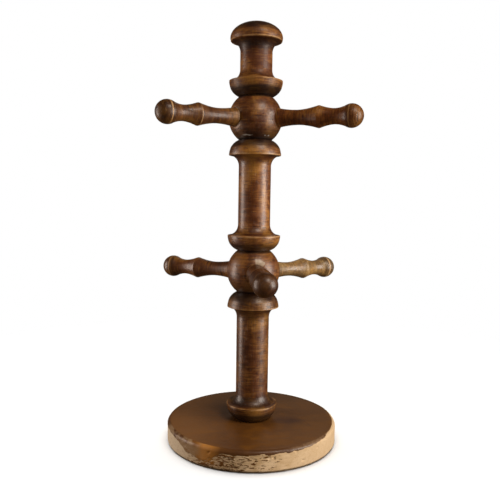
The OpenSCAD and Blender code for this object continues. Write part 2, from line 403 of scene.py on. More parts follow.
class Finish:
    """A material's node tree, with one method for each kind of node used here."""

    def __init__(self, name):
        self.material = bpy.data.materials.new(name)
        self.material.use_nodes = True
        self.tree = self.material.node_tree
        self.tree.nodes.clear()
        self.out = self.node("ShaderNodeOutputMaterial")
        self.shader = self.node("ShaderNodeBsdfPrincipled")
        self.tree.links.new(self.shader.outputs[0], self.out.inputs["Surface"])

    def node(self, kind, **settings):
        made = self.tree.nodes.new(kind)
        for key, value in settings.items():
            setattr(made, key, value)
        return made

    def put(self, socket, value):
        if isinstance(value, bpy.types.NodeSocket):
            self.tree.links.new(value, socket)
        elif isinstance(value, (tuple, list)) and socket.type == "RGBA":
            socket.default_value = (*value[:3], 1.0)
        else:
            socket.default_value = value

    def attribute(self, name, output="Fac"):
        return self.node("ShaderNodeAttribute", attribute_name=name).outputs[output]

    def own_place(self):
        """Object coordinates in millimetres."""
        coords = self.node("ShaderNodeTexCoord").outputs["Object"]
        return self.stretched(coords, (1 / MM, 1 / MM, 1 / MM))

    def stretched(self, vector, scale):
        made = self.node("ShaderNodeVectorMath", operation="MULTIPLY")
        self.put(made.inputs[0], vector)
        made.inputs[1].default_value = scale
        return made.outputs[0]

    def noise(self, vector, scale, detail=3.0, rough=0.55, warp=0.0):
        """Noise whose lumps are 1 / scale mm along each axis."""
        made = self.node("ShaderNodeTexNoise")
        self.put(made.inputs["Vector"], self.stretched(vector, scale))
        made.inputs["Scale"].default_value = 1.0
        made.inputs["Detail"].default_value = detail
        made.inputs["Roughness"].default_value = rough
        made.inputs["Distortion"].default_value = warp
        return made.outputs["Fac"]

    def noises(self, vector, table):
        """One noise for each row of a table, by the row's name."""
        return SimpleNamespace(**{key: self.noise(vector, *row) for key, row in table.items()})

    def between(self, value, low, high, to_low=0.0, to_high=1.0):
        """to_low below low and to_high above high, with an S-shaped curve between them."""
        made = self.node("ShaderNodeMapRange", interpolation_type="SMOOTHSTEP")
        for key, number in zip(("Value", "From Min", "From Max", "To Min", "To Max"),
                               (value, low, high, to_low, to_high)):
            self.put(made.inputs[key], number)
        return made.outputs["Result"]

    def sum(self, *values):
        total = values[0]
        for value in values[1:]:
            total = self.math("ADD", total, value)
        return total

    def math(self, operation, a, b=0.0):
        made = self.node("ShaderNodeMath", operation=operation)
        self.put(made.inputs[0], a)
        self.put(made.inputs[1], b)
        return made.outputs[0]

    def times(self, *values):
        total = values[0]
        for value in values[1:]:
            total = self.math("MULTIPLY", total, value)
        return total

    def blend(self, low, high, share, mode="MIX"):
        made = self.node("ShaderNodeMix", data_type="RGBA", blend_type=mode, clamp_factor=True)
        self.put(made.inputs[0], share)
        self.put(made.inputs[6], low)
        self.put(made.inputs[7], high)
        return made.outputs[2]

    def relief(self, height, distance):
        made = self.node("ShaderNodeBump")
        made.inputs["Distance"].default_value = distance
        made.inputs["Strength"].default_value = 1.0
        self.put(made.inputs["Height"], height)
        return made.outputs[0]

    def finish(self, colour, roughness, normal=None, **constants):
        self.put(self.shader.inputs["Base Color"], colour)
        self.put(self.shader.inputs["Roughness"], roughness)
        if normal is not None:
            self.put(self.shader.inputs["Normal"], normal)
        for key, value in constants.items():
            self.shader.inputs[key.replace("_", " ")].default_value = value
        return self.material


STAIN_DEEP = (0.028, 0.0070, 0.0018)
STAIN_DARK = (0.088, 0.0235, 0.0050)
STAIN_MID = (0.200, 0.0630, 0.0110)
STAIN_GOLD = (0.365, 0.166, 0.0290)
WORN_GOLD = (0.46, 0.235, 0.075)
SCRAPED = (0.55, 0.37, 0.20)
PALE_OLIVE = (0.46, 0.34, 0.145)
GROOVE_SHADE = (0.009, 0.0045, 0.0030)
GLUE_PALE = (0.40, 0.37, 0.33)
CHIP_TAN = (0.36, 0.26, 0.17)

# The stain's noises: lumps per mm along x, y and the lathe's axis, then octaves, roughness and warp
STAIN_NOISE = {
    "broad": ((0.055, 0.055, 0.032), 3, 0.5, 0.5),
    "haze": ((0.12, 0.12, 0.24), 4, 0.6, 0.5),
    "grain": ((1.05, 1.05, 0.055), 5, 0.62, 0.3),
    "rings": ((0.02, 0.02, 1.45), 4, 0.7),
    "dashes": ((0.16, 0.16, 1.3), 4, 0.62, 0.2),
    "checks": ((0.085, 0.085, 0.62), 2, 0.45, 0.15),
    "pores": ((1.9, 1.9, 0.30), 2, 0.5),
    "speck": ((0.85, 0.85, 0.85), 4, 0.7),
    "streaks": ((0.075, 0.075, 0.62), 4, 0.56, 0.15),
}
TOOL_RELIEF = 0.00014


def stain_tone(m, n, gold, deep, pale):
    """Colour of the stain: patches from dark to middle brown, almost black where it pooled, gold
    where the wood shows through, olive where it has thinned, and streaks round the lathe's axis."""
    patch = m.sum(m.times(n.broad, 0.78), m.times(n.haze, 0.34), m.times(n.dashes, 0.18))
    colour = m.blend(STAIN_DARK, STAIN_MID, m.between(patch, 0.50, 0.80))
    colour = m.blend(colour, STAIN_DEEP, m.times(m.between(n.haze, 0.46, 0.30), deep))
    golden = m.sum(n.broad, m.times(n.dashes, 0.45), m.times(n.haze, 0.25))
    colour = m.blend(colour, STAIN_GOLD, m.times(m.between(golden, 0.80, 1.02), gold))
    banded = m.times(m.attribute("band"), m.between(n.dashes, 0.35, 0.62), 0.28)
    colour = m.blend(colour, STAIN_GOLD, banded)
    if pale:
        thinned = m.sum(n.haze, m.times(n.dashes, 0.5), m.times(n.broad, 0.4))
        colour = m.blend(colour, PALE_OLIVE, m.between(thinned, 0.78, 1.08, 0.55 * pale, pale))
    colour = m.blend(colour, STAIN_DEEP, m.between(n.streaks, 0.43, 0.34, 0.0, 0.42))
    bright = m.between(n.streaks, 0.56, 0.66, 0.0, 0.45)
    return m.blend(colour, STAIN_GOLD, m.times(bright, 0.5 + 0.5 * gold))


def stain_shade(m, n, light):
    """Grey that multiplies the stain: long grain, lathe rings, dark pores, and painted shade on the collars'
    cups, in their coves and on the balls' lower halves, in the same measure as the darker stain of the peg
    tips.
    """
    shade = m.times(
        m.between(n.grain, 0.30, 0.72, 0.80, 1.16),
        m.between(n.rings, 0.32, 0.70, 0.76, 1.16),
        m.between(n.pores, 0.70, 0.58, 0.74, 1.0),
        m.between(m.attribute("bowl"), 0.0, 1.0, light, 0.20 * light))
    grey = m.node("ShaderNodeCombineColor")
    for socket in grey.inputs[:3]:
        m.put(socket, shade)
    return grey.outputs[0]


def stain_height(m, n):
    """Height of the skin: rings and dashes from the tool, grain, sunk pores and checks, specks."""
    return m.sum(
        m.times(n.rings, 0.95),
        m.times(n.dashes, 0.35),
        m.times(n.grain, 0.30),
        m.times(m.between(n.pores, 0.70, 0.60), 0.35),
        m.times(m.between(n.checks, 0.715, 0.665), 0.5),
        m.times(n.speck, 0.22))


def stained_wood(name, gold=0.5, rubbed=0.3, deep=0.4, light=1.0, pale=0.0, shift=0.0, roughness=0.36,
                 gloss=1.0, patches=None):
    """Dark stain under worn satin lacquer on turned wood, with dark checks, painted black shade in hollows,
    rubbed gold edges and scrapes over it. light scales the stain's colour, pale is how much of it has thinned
    to olive, and shift moves the pattern so that no two pieces match."""
    m = Finish(name)
    moved = m.node("ShaderNodeVectorMath", operation="ADD")
    m.put(moved.inputs[0], m.attribute("lathe", "Vector"))
    moved.inputs[1].default_value = (shift, -shift, 1.7 * shift)
    n = m.noises(moved.outputs[0], STAIN_NOISE)
    wear = m.attribute("wear")
    colour = m.blend(stain_tone(m, n, gold, deep, pale), stain_shade(m, n, light), 1.0, "MULTIPLY")
    colour = m.blend(colour, STAIN_DEEP, m.times(m.between(n.checks, 0.665, 0.715), 0.75))
    # Painted shade: hollows and grooves go towards near-black.
    sunk = m.between(m.sum(m.attribute("hollow"), m.times(n.speck, 0.3)), 0.25, 1.05)
    colour = m.blend(colour, GROOVE_SHADE, m.times(sunk, 0.80))
    rub = m.between(m.sum(wear, m.times(n.speck, 0.9), -0.45), 0.15, 0.75)
    rub = m.times(rub, 0.35 + 0.65 * rubbed)
    colour = m.blend(colour, WORN_GOLD, rub)
    scrape = m.sum(m.times(wear, 0.6), m.times(n.dashes, 1.5), m.times(n.haze, 0.7), -0.6)
    colour = m.blend(colour, SCRAPED, m.times(m.between(scrape, 0.70, 1.05), rubbed, 0.8))
    if patches is not None:
        colour = patches(m, colour, n.speck)
    rough = m.sum(
        m.between(n.haze, 0.35, 0.7, roughness - 0.05, roughness + 0.07),
        m.times(rub, 0.10),
        m.times(m.between(n.rings, 0.35, 0.65), 0.06))
    return m.finish(colour, rough, m.relief(stain_height(m, n), TOOL_RELIEF),
                    Specular_IOR_Level=0.5 * gloss, Coat_Weight=0.2 * gloss, Coat_Roughness=0.2)


def glue_and_chip(m, colour, speck):
    """Dried glue and a chipped spot, where the glue and chip attributes say."""
    grit = m.times(speck, 0.3)
    glue = m.between(m.sum(m.attribute("glue"), grit), 0.40, 0.80)
    chip = m.between(m.sum(m.attribute("chip"), grit), 0.45, 0.75)
    colour = m.blend(colour, GLUE_PALE, m.times(glue, 0.85))
    return m.blend(colour, CHIP_TAN, m.times(chip, 0.85))


def scratch(m, place, start, end):
    """1 on a fine straight line between two places on the base's top, 0 off it."""
    run = np.subtract(end, start)
    length = float(np.hypot(*run))
    along, across = run / length, np.array([-run[1], run[0]]) / length
    measured = []
    for direction in (along, across):
        dot = m.node("ShaderNodeVectorMath", operation="DOT_PRODUCT")
        m.put(dot.inputs[0], place)
        dot.inputs[1].default_value = (*direction, 0)
        measured.append(m.sum(dot.outputs["Value"], -float(np.dot(direction, start))))
    aside = m.math("ABSOLUTE", measured[1])
    return m.times(m.between(aside, 0.12, 0.38, 1.0, 0.0), m.between(measured[0], 0, 3),
                   m.between(measured[0], length - 3, length, 1.0, 0.0))


def post_shadow_and_scratches(m, place):
    """A darker patch beside the foot that is the post's painted shadow and reflection, and two fine scratches
    beyond it.
    """
    away = m.node("ShaderNodeVectorMath", operation="DISTANCE")
    m.put(away.inputs[0], m.stretched(place, (0.6, 1.0, 0.0)))
    away.inputs[1].default_value = (18.0, -8.0, 0.0)
    smudge = m.times(m.between(away.outputs["Value"], 3, 11, 1.0, 0.0),
                     m.noise(place, (0.08, 0.30, 0.30), 3, 0.6), 1.25)
    lines = m.sum(scratch(m, place, (44, -7), (50, -22)), scratch(m, place, (31, -3), (45, -15)))
    return m.math("MAXIMUM", smudge, m.times(lines, 0.6))


BOARD = {
    "dark": (0.130, 0.047, 0.0060),
    "light": (0.182, 0.071, 0.0095),
    "haze": (0.085, 0.033, 0.0105),
    "grain": (0.21, 0.088, 0.020),
    "pore": (0.06, 0.022, 0.008),
    # rear is painted shade, left and right are painted sheen, and the last entry is the post's painted shadow
    # and reflection beside the foot, which the scratches share.
    "rear": (0.060, 0.033, 0.020),
    "left": (0.265, 0.118, 0.036),
    "right": (0.160, 0.078, 0.031),
    "smudge": (0.050, 0.021, 0.016),
}
RIM = {
    "edge": (0.060, 0.024, 0.012),
    "amber": (0.66, 0.280, 0.052),
    "thin": (0.50, 0.345, 0.20),
    "cream_dark": (0.62, 0.415, 0.215),
    "cream_light": (0.77, 0.555, 0.335),
    "cream_right": (0.58, 0.415, 0.245),
    # The next entry is painted light on the bare wood at the left.
    "cream_left": (0.94, 0.79, 0.57),
    "grain": (0.50, 0.31, 0.145),
    "fleck": (0.30, 0.165, 0.065),
}

# The board's noises, laid out as the stain's are. Its grain runs along x.
BOARD_NOISE = {
    "cloud": ((0.016, 0.028, 0.028), 3, 0.5, 0.4),
    "haze": ((0.07, 0.10, 0.10), 4, 0.6, 0.5),
    "grain": ((0.020, 0.55, 0.55), 5, 0.6, 0.25),
    "pores": ((0.16, 2.2, 2.2), 2, 0.5),
    "speck": ((1.1, 1.1, 1.1), 4, 0.7),
    "flecks": ((0.30, 0.30, 1.6), 4, 0.66, 0.4),
    "dashes": ((0.25, 0.25, 1.0), 4, 0.60, 0.3),
}
BOARD_RELIEF = 0.00012


def board_stain(m, n, place, x, y):
    """Stain on the board's top: clouds, haze, long grain and pores, with painted shade that darkens the rear,
    painted sheen that makes the left and right paler, and the post's painted shadow and reflection beside the
    foot with the scratches over it."""
    colour = m.blend(BOARD["dark"], BOARD["light"], m.between(n.cloud, 0.35, 0.68))
    colour = m.blend(colour, BOARD["haze"], m.times(m.between(n.haze, 0.62, 0.42), 0.5))
    colour = m.blend(colour, BOARD["grain"], m.times(m.between(n.grain, 0.50, 0.72), 0.30))
    colour = m.blend(colour, BOARD["pore"], m.times(m.between(n.pores, 0.60, 0.72), 0.35))
    # Painted shade at the rear, painted sheen at the left and right, then the post's painted shadow and
    # reflection.
    colour = m.blend(colour, BOARD["rear"], m.between(y, -10, 62, 0.0, 0.62))
    colour = m.blend(colour, BOARD["left"], m.between(x, -8, -62, 0.0, 0.75))
    colour = m.blend(colour, BOARD["right"], m.between(x, 5, 60, 0.0, 0.45))
    return m.blend(colour, BOARD["smudge"], post_shadow_and_scratches(m, place))


def rim_stain(m, n, colour):
    """What is left of the finish on the rim: dark at its top edge, amber and thin in places."""
    colour = m.blend(colour, RIM["edge"], m.times(m.between(m.attribute("edge"), 0.0, 0.8), 0.55))
    colour = m.blend(colour, RIM["amber"], m.times(m.attribute("amber"), 0.92))
    broken = m.between(m.sum(n.speck, m.times(n.flecks, 0.7)), 0.70, 1.0, 1.0, 0.45)
    return m.blend(colour, RIM["thin"], m.times(m.attribute("thin"), broken))


def bare_wood(m, n, x):
    """Bare cream wood: hazy, paler towards the left where light is painted on, with grain and dark flecks."""
    cream = m.blend(RIM["cream_dark"], RIM["cream_light"], m.between(n.haze, 0.35, 0.65))
    cream = m.blend(cream, RIM["cream_right"], m.between(x, 8, 58, 0.0, 0.75))
    # Painted light: paler cream towards the left.
    cream = m.blend(cream, RIM["cream_left"], m.between(x, -30, -64))
    cream = m.blend(cream, RIM["grain"], m.times(m.between(n.grain, 0.52, 0.68), 0.5))
    return m.blend(cream, RIM["fleck"], m.times(m.between(n.flecks, 0.60, 0.70), 0.45))


def bare_share(m, n):
    """1 where the wood is bare: where the bare attribute says, with a ragged edge, less small
    dashes of finish that are more common where the chips attribute is high."""
    ragged = m.sum(m.attribute("bare"), m.times(n.speck, 0.22), m.times(n.flecks, 0.24), -0.23)
    dashes = m.sum(n.dashes, m.times(n.speck, 0.25), m.times(m.attribute("chips"), 0.62))
    return m.times(m.between(ragged, 0.40, 0.56), m.between(dashes, 0.945, 0.98, 1.0, 0.0))


def base_wood(name):
    """Stained board with its finish flaked off round the rim."""
    m = Finish(name)
    place = m.own_place()
    n = m.noises(place, BOARD_NOISE)
    parts = m.node("ShaderNodeSeparateXYZ")
    m.put(parts.inputs[0], place)
    x, y = parts.outputs["X"], parts.outputs["Y"]
    bare = bare_share(m, n)
    colour = m.blend(rim_stain(m, n, board_stain(m, n, place, x, y)), bare_wood(m, n, x), bare)
    worn = m.times(m.attribute("wear"), m.between(n.speck, 0.45, 0.65), 0.3)
    colour = m.blend(colour, WORN_GOLD, worn)
    rough = m.sum(m.times(bare, 0.36), 0.36, m.between(n.haze, 0.35, 0.65, -0.03, 0.06))
    height = m.sum(
        m.times(n.grain, 0.30),
        m.times(m.between(n.pores, 0.70, 0.60), 0.3),
        m.times(n.speck, 0.22),
        m.times(bare, -0.9))
    return m.finish(colour, rough, m.relief(height, BOARD_RELIEF), Specular_IOR_Level=0.36)


def dowel_wood():
    """Bare birch dowel: pale, with long grain and fluted dark lines."""
    m = Finish("dowel_birch")
    place = m.own_place()
    grain = m.noise(place, (1.4, 1.4, 0.06), 5, 0.6)
    colour = m.blend((0.52, 0.37, 0.21), (0.72, 0.56, 0.36), m.between(grain, 0.35, 0.65))
    return m.finish(colour, m.between(grain, 0.3, 0.7, 0.5, 0.7), m.relief(grain, 0.00008))


def screw_steel():
    """Zinc-plated steel: fine turning lines and a little dulling."""
    m = Finish("zinc_plated_steel")
    place = m.own_place()
    lines = m.noise(place, (0.2, 0.2, 9.0), 3, 0.6)
    cloud = m.noise(place, (0.6, 0.6, 0.6), 3, 0.6)
    colour = m.blend((0.46, 0.45, 0.42), (0.68, 0.67, 0.62), m.between(cloud, 0.35, 0.65))
    return m.finish(colour, m.between(lines, 0.3, 0.7, 0.28, 0.45), m.relief(lines, 0.00002), Metallic=1.0)


def felt():
    """Brown felt: tangled fibres, matt, with a little fuzz."""
    m = Finish("brown_felt")
    place = m.own_place()
    fibres = m.noise(place, (2.6, 2.6, 2.6), 6, 0.75, 1.5)
    cloud = m.noise(place, (0.12, 0.12, 0.12), 3, 0.6)
    colour = m.blend((0.15, 0.095, 0.055), (0.26, 0.175, 0.105), m.between(fibres, 0.35, 0.7))
    colour = m.blend(colour, (0.19, 0.13, 0.08), m.between(cloud, 0.4, 0.6))
    return m.finish(colour, m.between(fibres, 0.3, 0.7, 0.88, 0.98), m.relief(fibres, 0.0003),
                    Sheen_Weight=0.25, Specular_IOR_Level=0.2)


# ---------------------------------------------------------------- the post


def column_outlines():
    """Half outlines of the three post pieces, each closed at the axis at both ends."""
    lower = np.concatenate([
        [[0, PILOT_TOP], [PILOT_R, PILOT_TOP], [PILOT_R, FOOT_TENON_LOW]],
        [[FOOT_TENON_R, FOOT_TENON_LOW], [FOOT_TENON_R, BASE_TOP]],
        collar(BASE_TOP, 1, FOOT_R, SHAFT_R["lower"], FOOT_H, FOOT_COVE_H),
        collar(LOWER_FLATS[0], -1, COLLAR_R["under"], SHAFT_R["lower"])[::-1],
        blind_hole(LOWER_FLATS[0], 1)[::-1]])
    upper = np.concatenate([
        blind_hole(LOWER_FLATS[1], -1),
        collar(LOWER_FLATS[1], 1, COLLAR_R["over"], SHAFT_R["upper"]),
        collar(UPPER_FLATS[0], -1, COLLAR_R["under"], SHAFT_R["upper"])[::-1],
        blind_hole(UPPER_FLATS[0], 1)[::-1]])
    cap_z = TOTAL_H - CAP_DOME_H
    under_z = cap_z - CAP_EDGE_H
    turn = np.linspace(0, math.pi / 2, 40)
    dome = np.stack([CAP_R * np.cos(turn), cap_z + CAP_DOME_H * np.sin(turn)], 1)
    finial = np.concatenate([
        blind_hole(UPPER_FLATS[1], -1),
        collar(UPPER_FLATS[1], 1, COLLAR_R["over"], SHAFT_R["finial"]),
        cove(SHAFT_R["finial"], under_z - COVE_H, CAP_UNDER_R - COVE_STEP, under_z - COVE_END),
        [[CAP_UNDER_R, under_z]],
        dome])
    return {"lower_column": lower, "upper_column": upper, "finial": finial}


post_finish = {
    "lower_column": stained_wood("stain_lower_column", gold=0.70, deep=0.5, light=0.84, shift=3.0),
    "upper_column": stained_wood("stain_upper_column", gold=0.65, deep=0.35, light=1.24, shift=41.0),
    "finial": stained_wood("stain_finial", gold=0.60, deep=0.35, light=1.10, shift=77.0,
                           roughness=0.48, gloss=0.55),
}
# Each collar: its rim's height, its side, how dark the painted shade on its cup is and how dark the painted
# shade in its cove
post_collars = {
    "lower_column": [
        (BASE_TOP + FOOT_H, 1, 1.9, 0.72),
        (LOWER_FLATS[0] - COLLAR_H, -1, 0.9, 0.4)],
    "upper_column": [
        (LOWER_FLATS[1] + COLLAR_H, 1, 0.95, 0.45),
        (UPPER_FLATS[0] - COLLAR_H, -1, 1.05, 0.4)],
    "finial": [
        (UPPER_FLATS[1] + COLLAR_H, 1, 1.4, 0.35),
        (TOTAL_H - CAP_DOME_H - CAP_EDGE_H, -1, 0.95, 0.8)],
}
for seed, (node, outline) in enumerate(column_outlines().items()):
    turned_piece("turned_" + node, outline, node, "post_wood", post_finish[node], 100 + 17 * seed,
                 collars=post_collars[node], nicks=0.5)

# ---------------------------------------------------------------- pegs


def peg_outline():
    """Tenon, shoulder, inner hollow, crisp crest, outer hollow and round tip, along the peg."""
    turn = np.radians(np.linspace(PEG_TIP_TURN, 0, 40))
    tip = np.stack([PEG_TIP_R * np.sin(turn), PEG_TIP_S + PEG_TIP_R * np.cos(turn)], 1)
    tip[-1, 0] = 0
    inner, outer = PEG_NECK["inner"], PEG_NECK["outer"]
    return np.concatenate([
        [[0, PEG_SEAT_S - PEG_TENON_L], [PEG_TENON_R, PEG_SEAT_S - PEG_TENON_L], [PEG_TENON_R, PEG_SEAT_S]],
        swell(*inner, PEG_ROOT_R, PEG_SEAT_S, 2.0)[::-1],
        swell(*inner, *PEG_CREST, 1.7)[1:],
        swell(*outer, *PEG_CREST, 1.7)[::-1][1:],
        swell(*outer, *tip[0], 2.0)[1:],
        tip[1:]])


def tip_ring(plain):
    """A rubbed line round the widest part of the tip."""
    return 0.9 * np.exp(-((plain[..., 2] - PEG_TIP_S + 0.6) / 0.55) ** 2)


def cross_axes(axis):
    """Two unit directions across a peg's axis: level to its side, and up."""
    side = np.cross([0, 0, 1.0], axis)
    side /= np.linalg.norm(side)
    return side, np.cross(axis, side)


def peg_place(centre_z, axis):
    """Moves a grid from the lathe, along +Z, to the peg's axis through the ball's centre.
    A point (x, y, s) goes to centre + x side + y up + s axis."""
    axis = np.array(axis) / np.linalg.norm(axis)
    side, up = cross_axes(axis)
    return lambda grid: grid @ np.stack([side, up, axis]) + [0, 0, centre_z]


def dark_tip(plain):
    """The round tip keeps more of the dark stain than the rest of the peg."""
    return 0.50 * smooth_step(PEG_TIP_S - 8, PEG_TIP_S - 2, plain[..., 2])


hooks = {
    mount["name"].replace("hook_", ""): mount["axis"]
    for mount in frame["record"]["mounts"]
    if mount["name"].startswith("hook_")
}
peg_looks = {
    "upper_right": dict(gold=0.45, rubbed=0.15, deep=0.4, light=1.30, gloss=0.7),
    "upper_left": dict(gold=0.55, rubbed=0.55, deep=0.4, light=0.82, pale=0.05, gloss=0.75),
    "upper_rear": dict(gold=0.45, rubbed=0.40, deep=0.4, light=1.0),
    "lower_front": dict(gold=0.15, rubbed=0.15, deep=0.9, light=0.66),
    "lower_right": dict(gold=1.00, rubbed=0.90, deep=0.0, light=1.08, pale=0.42),
    "lower_left": dict(gold=0.75, rubbed=0.45, deep=0.2, light=1.4, pale=0.04),
}
for count, (where, looks) in enumerate(peg_looks.items()):
    tier_z = UPPER_BALL_Z if where.startswith("upper") else LOWER_BALL_Z
    node = "peg_" + where
    finish = stained_wood("stain_" + node, shift=11.0 + 29.0 * count, roughness=0.36, **looks)
    turned_piece("turned_" + node, peg_outline(), node, "peg_wood", finish, 300 + 13 * count, around=112,
                 place=peg_place(tier_z, hooks[where]), shaded=dark_tip, rubbed=looks["rubbed"], nicks=0.6,
                 extra_wear=tip_ring)

# ---------------------------------------------------------------- balls


def peg_cutter(name, centre_z, axis):
    """A stepped turned form along a peg's axis: the tenon's hole, then the wider seat."""
    bottom = PEG_SEAT_S - PEG_TENON_L - HOLE_SPARE
    hole_r = PEG_TENON_R + GLUE_GAP
    seat_r = PEG_ROOT_R + PEG_SEAT_CLEARANCE
    past = BALL_R + CUTTER_SPARE
    outline = np.array([[0, bottom], [hole_r, bottom], [hole_r, PEG_SEAT_S],
                        [seat_r, PEG_SEAT_S], [seat_r, past], [0, past]])
    turn = circle(96)
    grid = turned_points(outline[:, :1] + 0 * turn, outline[:, 1:], turn)
    cutter = bpy.data.objects.new(name, mesh_from_rings(name, peg_place(centre_z, axis)(grid) * MM))
    bpy.context.scene.collection.objects.link(cutter)
    return cutter


def plain_ball(name, flats):
    """A ball whose outline is an arc between two flats, with a blind dowel hole in each flat."""
    half_turn = math.asin(FLAT_H / BALL_R)
    turn = np.linspace(-half_turn, half_turn, 90)
    side = np.stack([BALL_R * np.cos(turn), sum(flats) / 2 + BALL_R * np.sin(turn)], 1)
    outline = np.concatenate([blind_hole(flats[0], -1), side, blind_hole(flats[1], 1)[::-1]])
    r, z = eased(outline)[:2]
    around = circle(200)
    mesh = mesh_from_rings(name, turned_points(r[:, None] + 0 * around, z[:, None], around) * MM)
    ball = bpy.data.objects.new(name, mesh)
    bpy.context.scene.collection.objects.link(ball)
    return ball


def cut_mesh(ball, cutters):
    """The mesh that is left when the cutters are taken out of the ball. They are removed."""
    for count, cutter in enumerate(cutters):
        cut = ball.modifiers.new(f"cut_{count}", "BOOLEAN")
        cut.operation = "DIFFERENCE"
        cut.solver = "EXACT"
        cut.object = cutter
    bpy.context.view_layer.update()
    depsgraph = bpy.context.evaluated_depsgraph_get()
    mesh = bpy.data.meshes.new_from_object(ball.evaluated_get(depsgraph))
    for made in [ball, *cutters]:
        bpy.data.objects.remove(made)
    return mesh


def drilled_ball(name, node, flats, tier, seed, material, glue_span=None, chip_by=None):
    """A ball with the seats and holes of its tier's pegs cut in it, and its skin finished.
    glue_span is the range of turns with dried glue, and chip_by the peg beside a chip."""
    centre_z = sum(flats) / 2
    axes = [axis for where, axis in hooks.items() if where.startswith(tier)]
    ball = plain_ball(name, flats)
    cutters = [peg_cutter(f"cutter_{k}", centre_z, axis) for k, axis in enumerate(axes)]
    mesh = cut_mesh(ball, cutters)
    mesh.name = name
    finish_ball(mesh, centre_z, axes, seed, glue_span, chip_by)
    return object_from(name, mesh, node, material)


def gap_to_seats(points, axes):
    """Distance of each point from the nearest peg's seat, outside it."""
    gap = np.full(len(points), 99.0)
    for axis in axes:
        along = points @ np.array(axis)
        off_axis = np.linalg.norm(points - along[:, None] * np.array(axis), axis=1)
        beyond = off_axis - PEG_ROOT_R - PEG_SEAT_CLEARANCE
        gap = np.where(along > 0, np.minimum(gap, beyond), gap)
    return gap


def glue_line(points, seed, span):
    """A broken wavy line a little above the lower flat, over a span of turns from the front."""
    turn = np.degrees(np.arctan2(points[:, 0], -points[:, 1]))
    line = -FLAT_H + 2.7 + 0.5 * lumps(points, (4, 4, 90), seed + 5, 2)
    across = np.exp(-((points[:, 2] - line) / 0.42) ** 2)
    broken = smooth_step(-0.15, 0.35, lumps(points, (2.6, 2.6, 60), seed + 7, 2))
    return across * broken * smooth_step(0, 12, span[1] - turn) * smooth_step(0, 12, turn - span[0])


def chipped_spot(points, seed, axis):
    """A chip beside a peg's seat, between two turns of a clock's hand round the peg's axis."""
    side, up = cross_axes(axis)
    clock = np.degrees(np.arctan2(points @ side, points @ up))
    off_axis = np.hypot(points @ side, points @ up)
    reach_out = 12.4 + 1.0 * lumps(points, 3.0, seed + 9, 2)
    chip = smooth_step(reach_out, reach_out - 0.7, off_axis) * smooth_step(-8, 4, clock)
    return chip * smooth_step(48, 36, clock) * (points @ axis > 0)


def finish_ball(mesh, centre_z, axes, seed, glue_span, chip_by):
    """Surface waves, tool marks, dried glue and wear on a cut ball, with painted shade in the grooves by its
    flats and on its lower half, worked out from each point's place: its height over the flats, its distance
    from the centre and from each peg's axis."""
    co = np.zeros(len(mesh.vertices) * 3, np.float32)
    mesh.vertices.foreach_get("co", co)
    points = co.reshape(-1, 3).astype(float) / MM - [0, 0, centre_z]
    distance = np.linalg.norm(points, axis=1)
    outward = points / np.maximum(distance, 1e-6)[:, None]
    on_skin = smooth_step(BALL_R - 0.5, BALL_R - 0.1, distance)
    seat_edge = smooth_step(1.3, 0.15, gap_to_seats(points, axes))
    groove = smooth_step(2.6, 0.4, FLAT_H - np.abs(points[:, 2]))
    none = np.zeros(len(points))
    glue = none if glue_span is None else glue_line(points, seed, glue_span)
    chip = none if chip_by is None else chipped_spot(points, seed, np.array(hooks[chip_by]))
    wave = 0.05 * lumps(points, 26, seed, 2) + 0.014 * lumps(points, (26, 26, 0.9), seed + 11, 2)
    dents = smooth_step(0.70, 1.2, lumps(points, 3.0, seed + 37, 2))
    shift = on_skin * (wave - 0.16 * dents + 0.30 * glue - 0.14 * chip - 0.12 * seat_edge)
    moved = (points + outward * shift[:, None] + [0, 0, centre_z]) * MM
    mesh.vertices.foreach_set("co", moved.astype(np.float32).ravel())
    mesh.update()
    mesh.polygons.foreach_set("use_smooth", np.ones(len(mesh.polygons), bool))
    mesh.set_sharp_from_angle(angle=math.radians(40))
    worn = smooth_step(-0.3, 0.5, lumps(points, 5, seed + 3, 2))
    set_attribute(mesh, "lathe", points, "FLOAT_VECTOR")
    set_attribute(mesh, "wear", on_skin * seat_edge * 0.55 * worn)
    # Painted black shade in the grooves by the flats and inside the holes.
    set_attribute(mesh, "hollow", np.maximum(groove, 1 - on_skin))
    # Painted shade, darker towards the lower flat.
    set_attribute(mesh, "bowl", smooth_step(2, FLAT_H, -points[:, 2]) * 0.75 * on_skin)
    set_attribute(mesh, "glue", glue)
    set_attribute(mesh, "chip", chip)


ball_finish = {
    "lower": stained_wood("stain_lower_ball", gold=0.35, deep=0.5, shift=19.0, patches=glue_and_chip),
    "upper": stained_wood("stain_upper_ball", gold=0.55, deep=0.4, shift=63.0, patches=glue_and_chip),
}
drilled_ball("turned_lower_ball", "lower_ball", LOWER_FLATS, "lower", 510, ball_finish["lower"],
             chip_by="lower_front")
drilled_ball("turned_upper_ball", "upper_ball", UPPER_FLATS, "upper", 530, ball_finish["upper"],
             glue_span=(-45, 55))

# ---------------------------------------------------------------- base


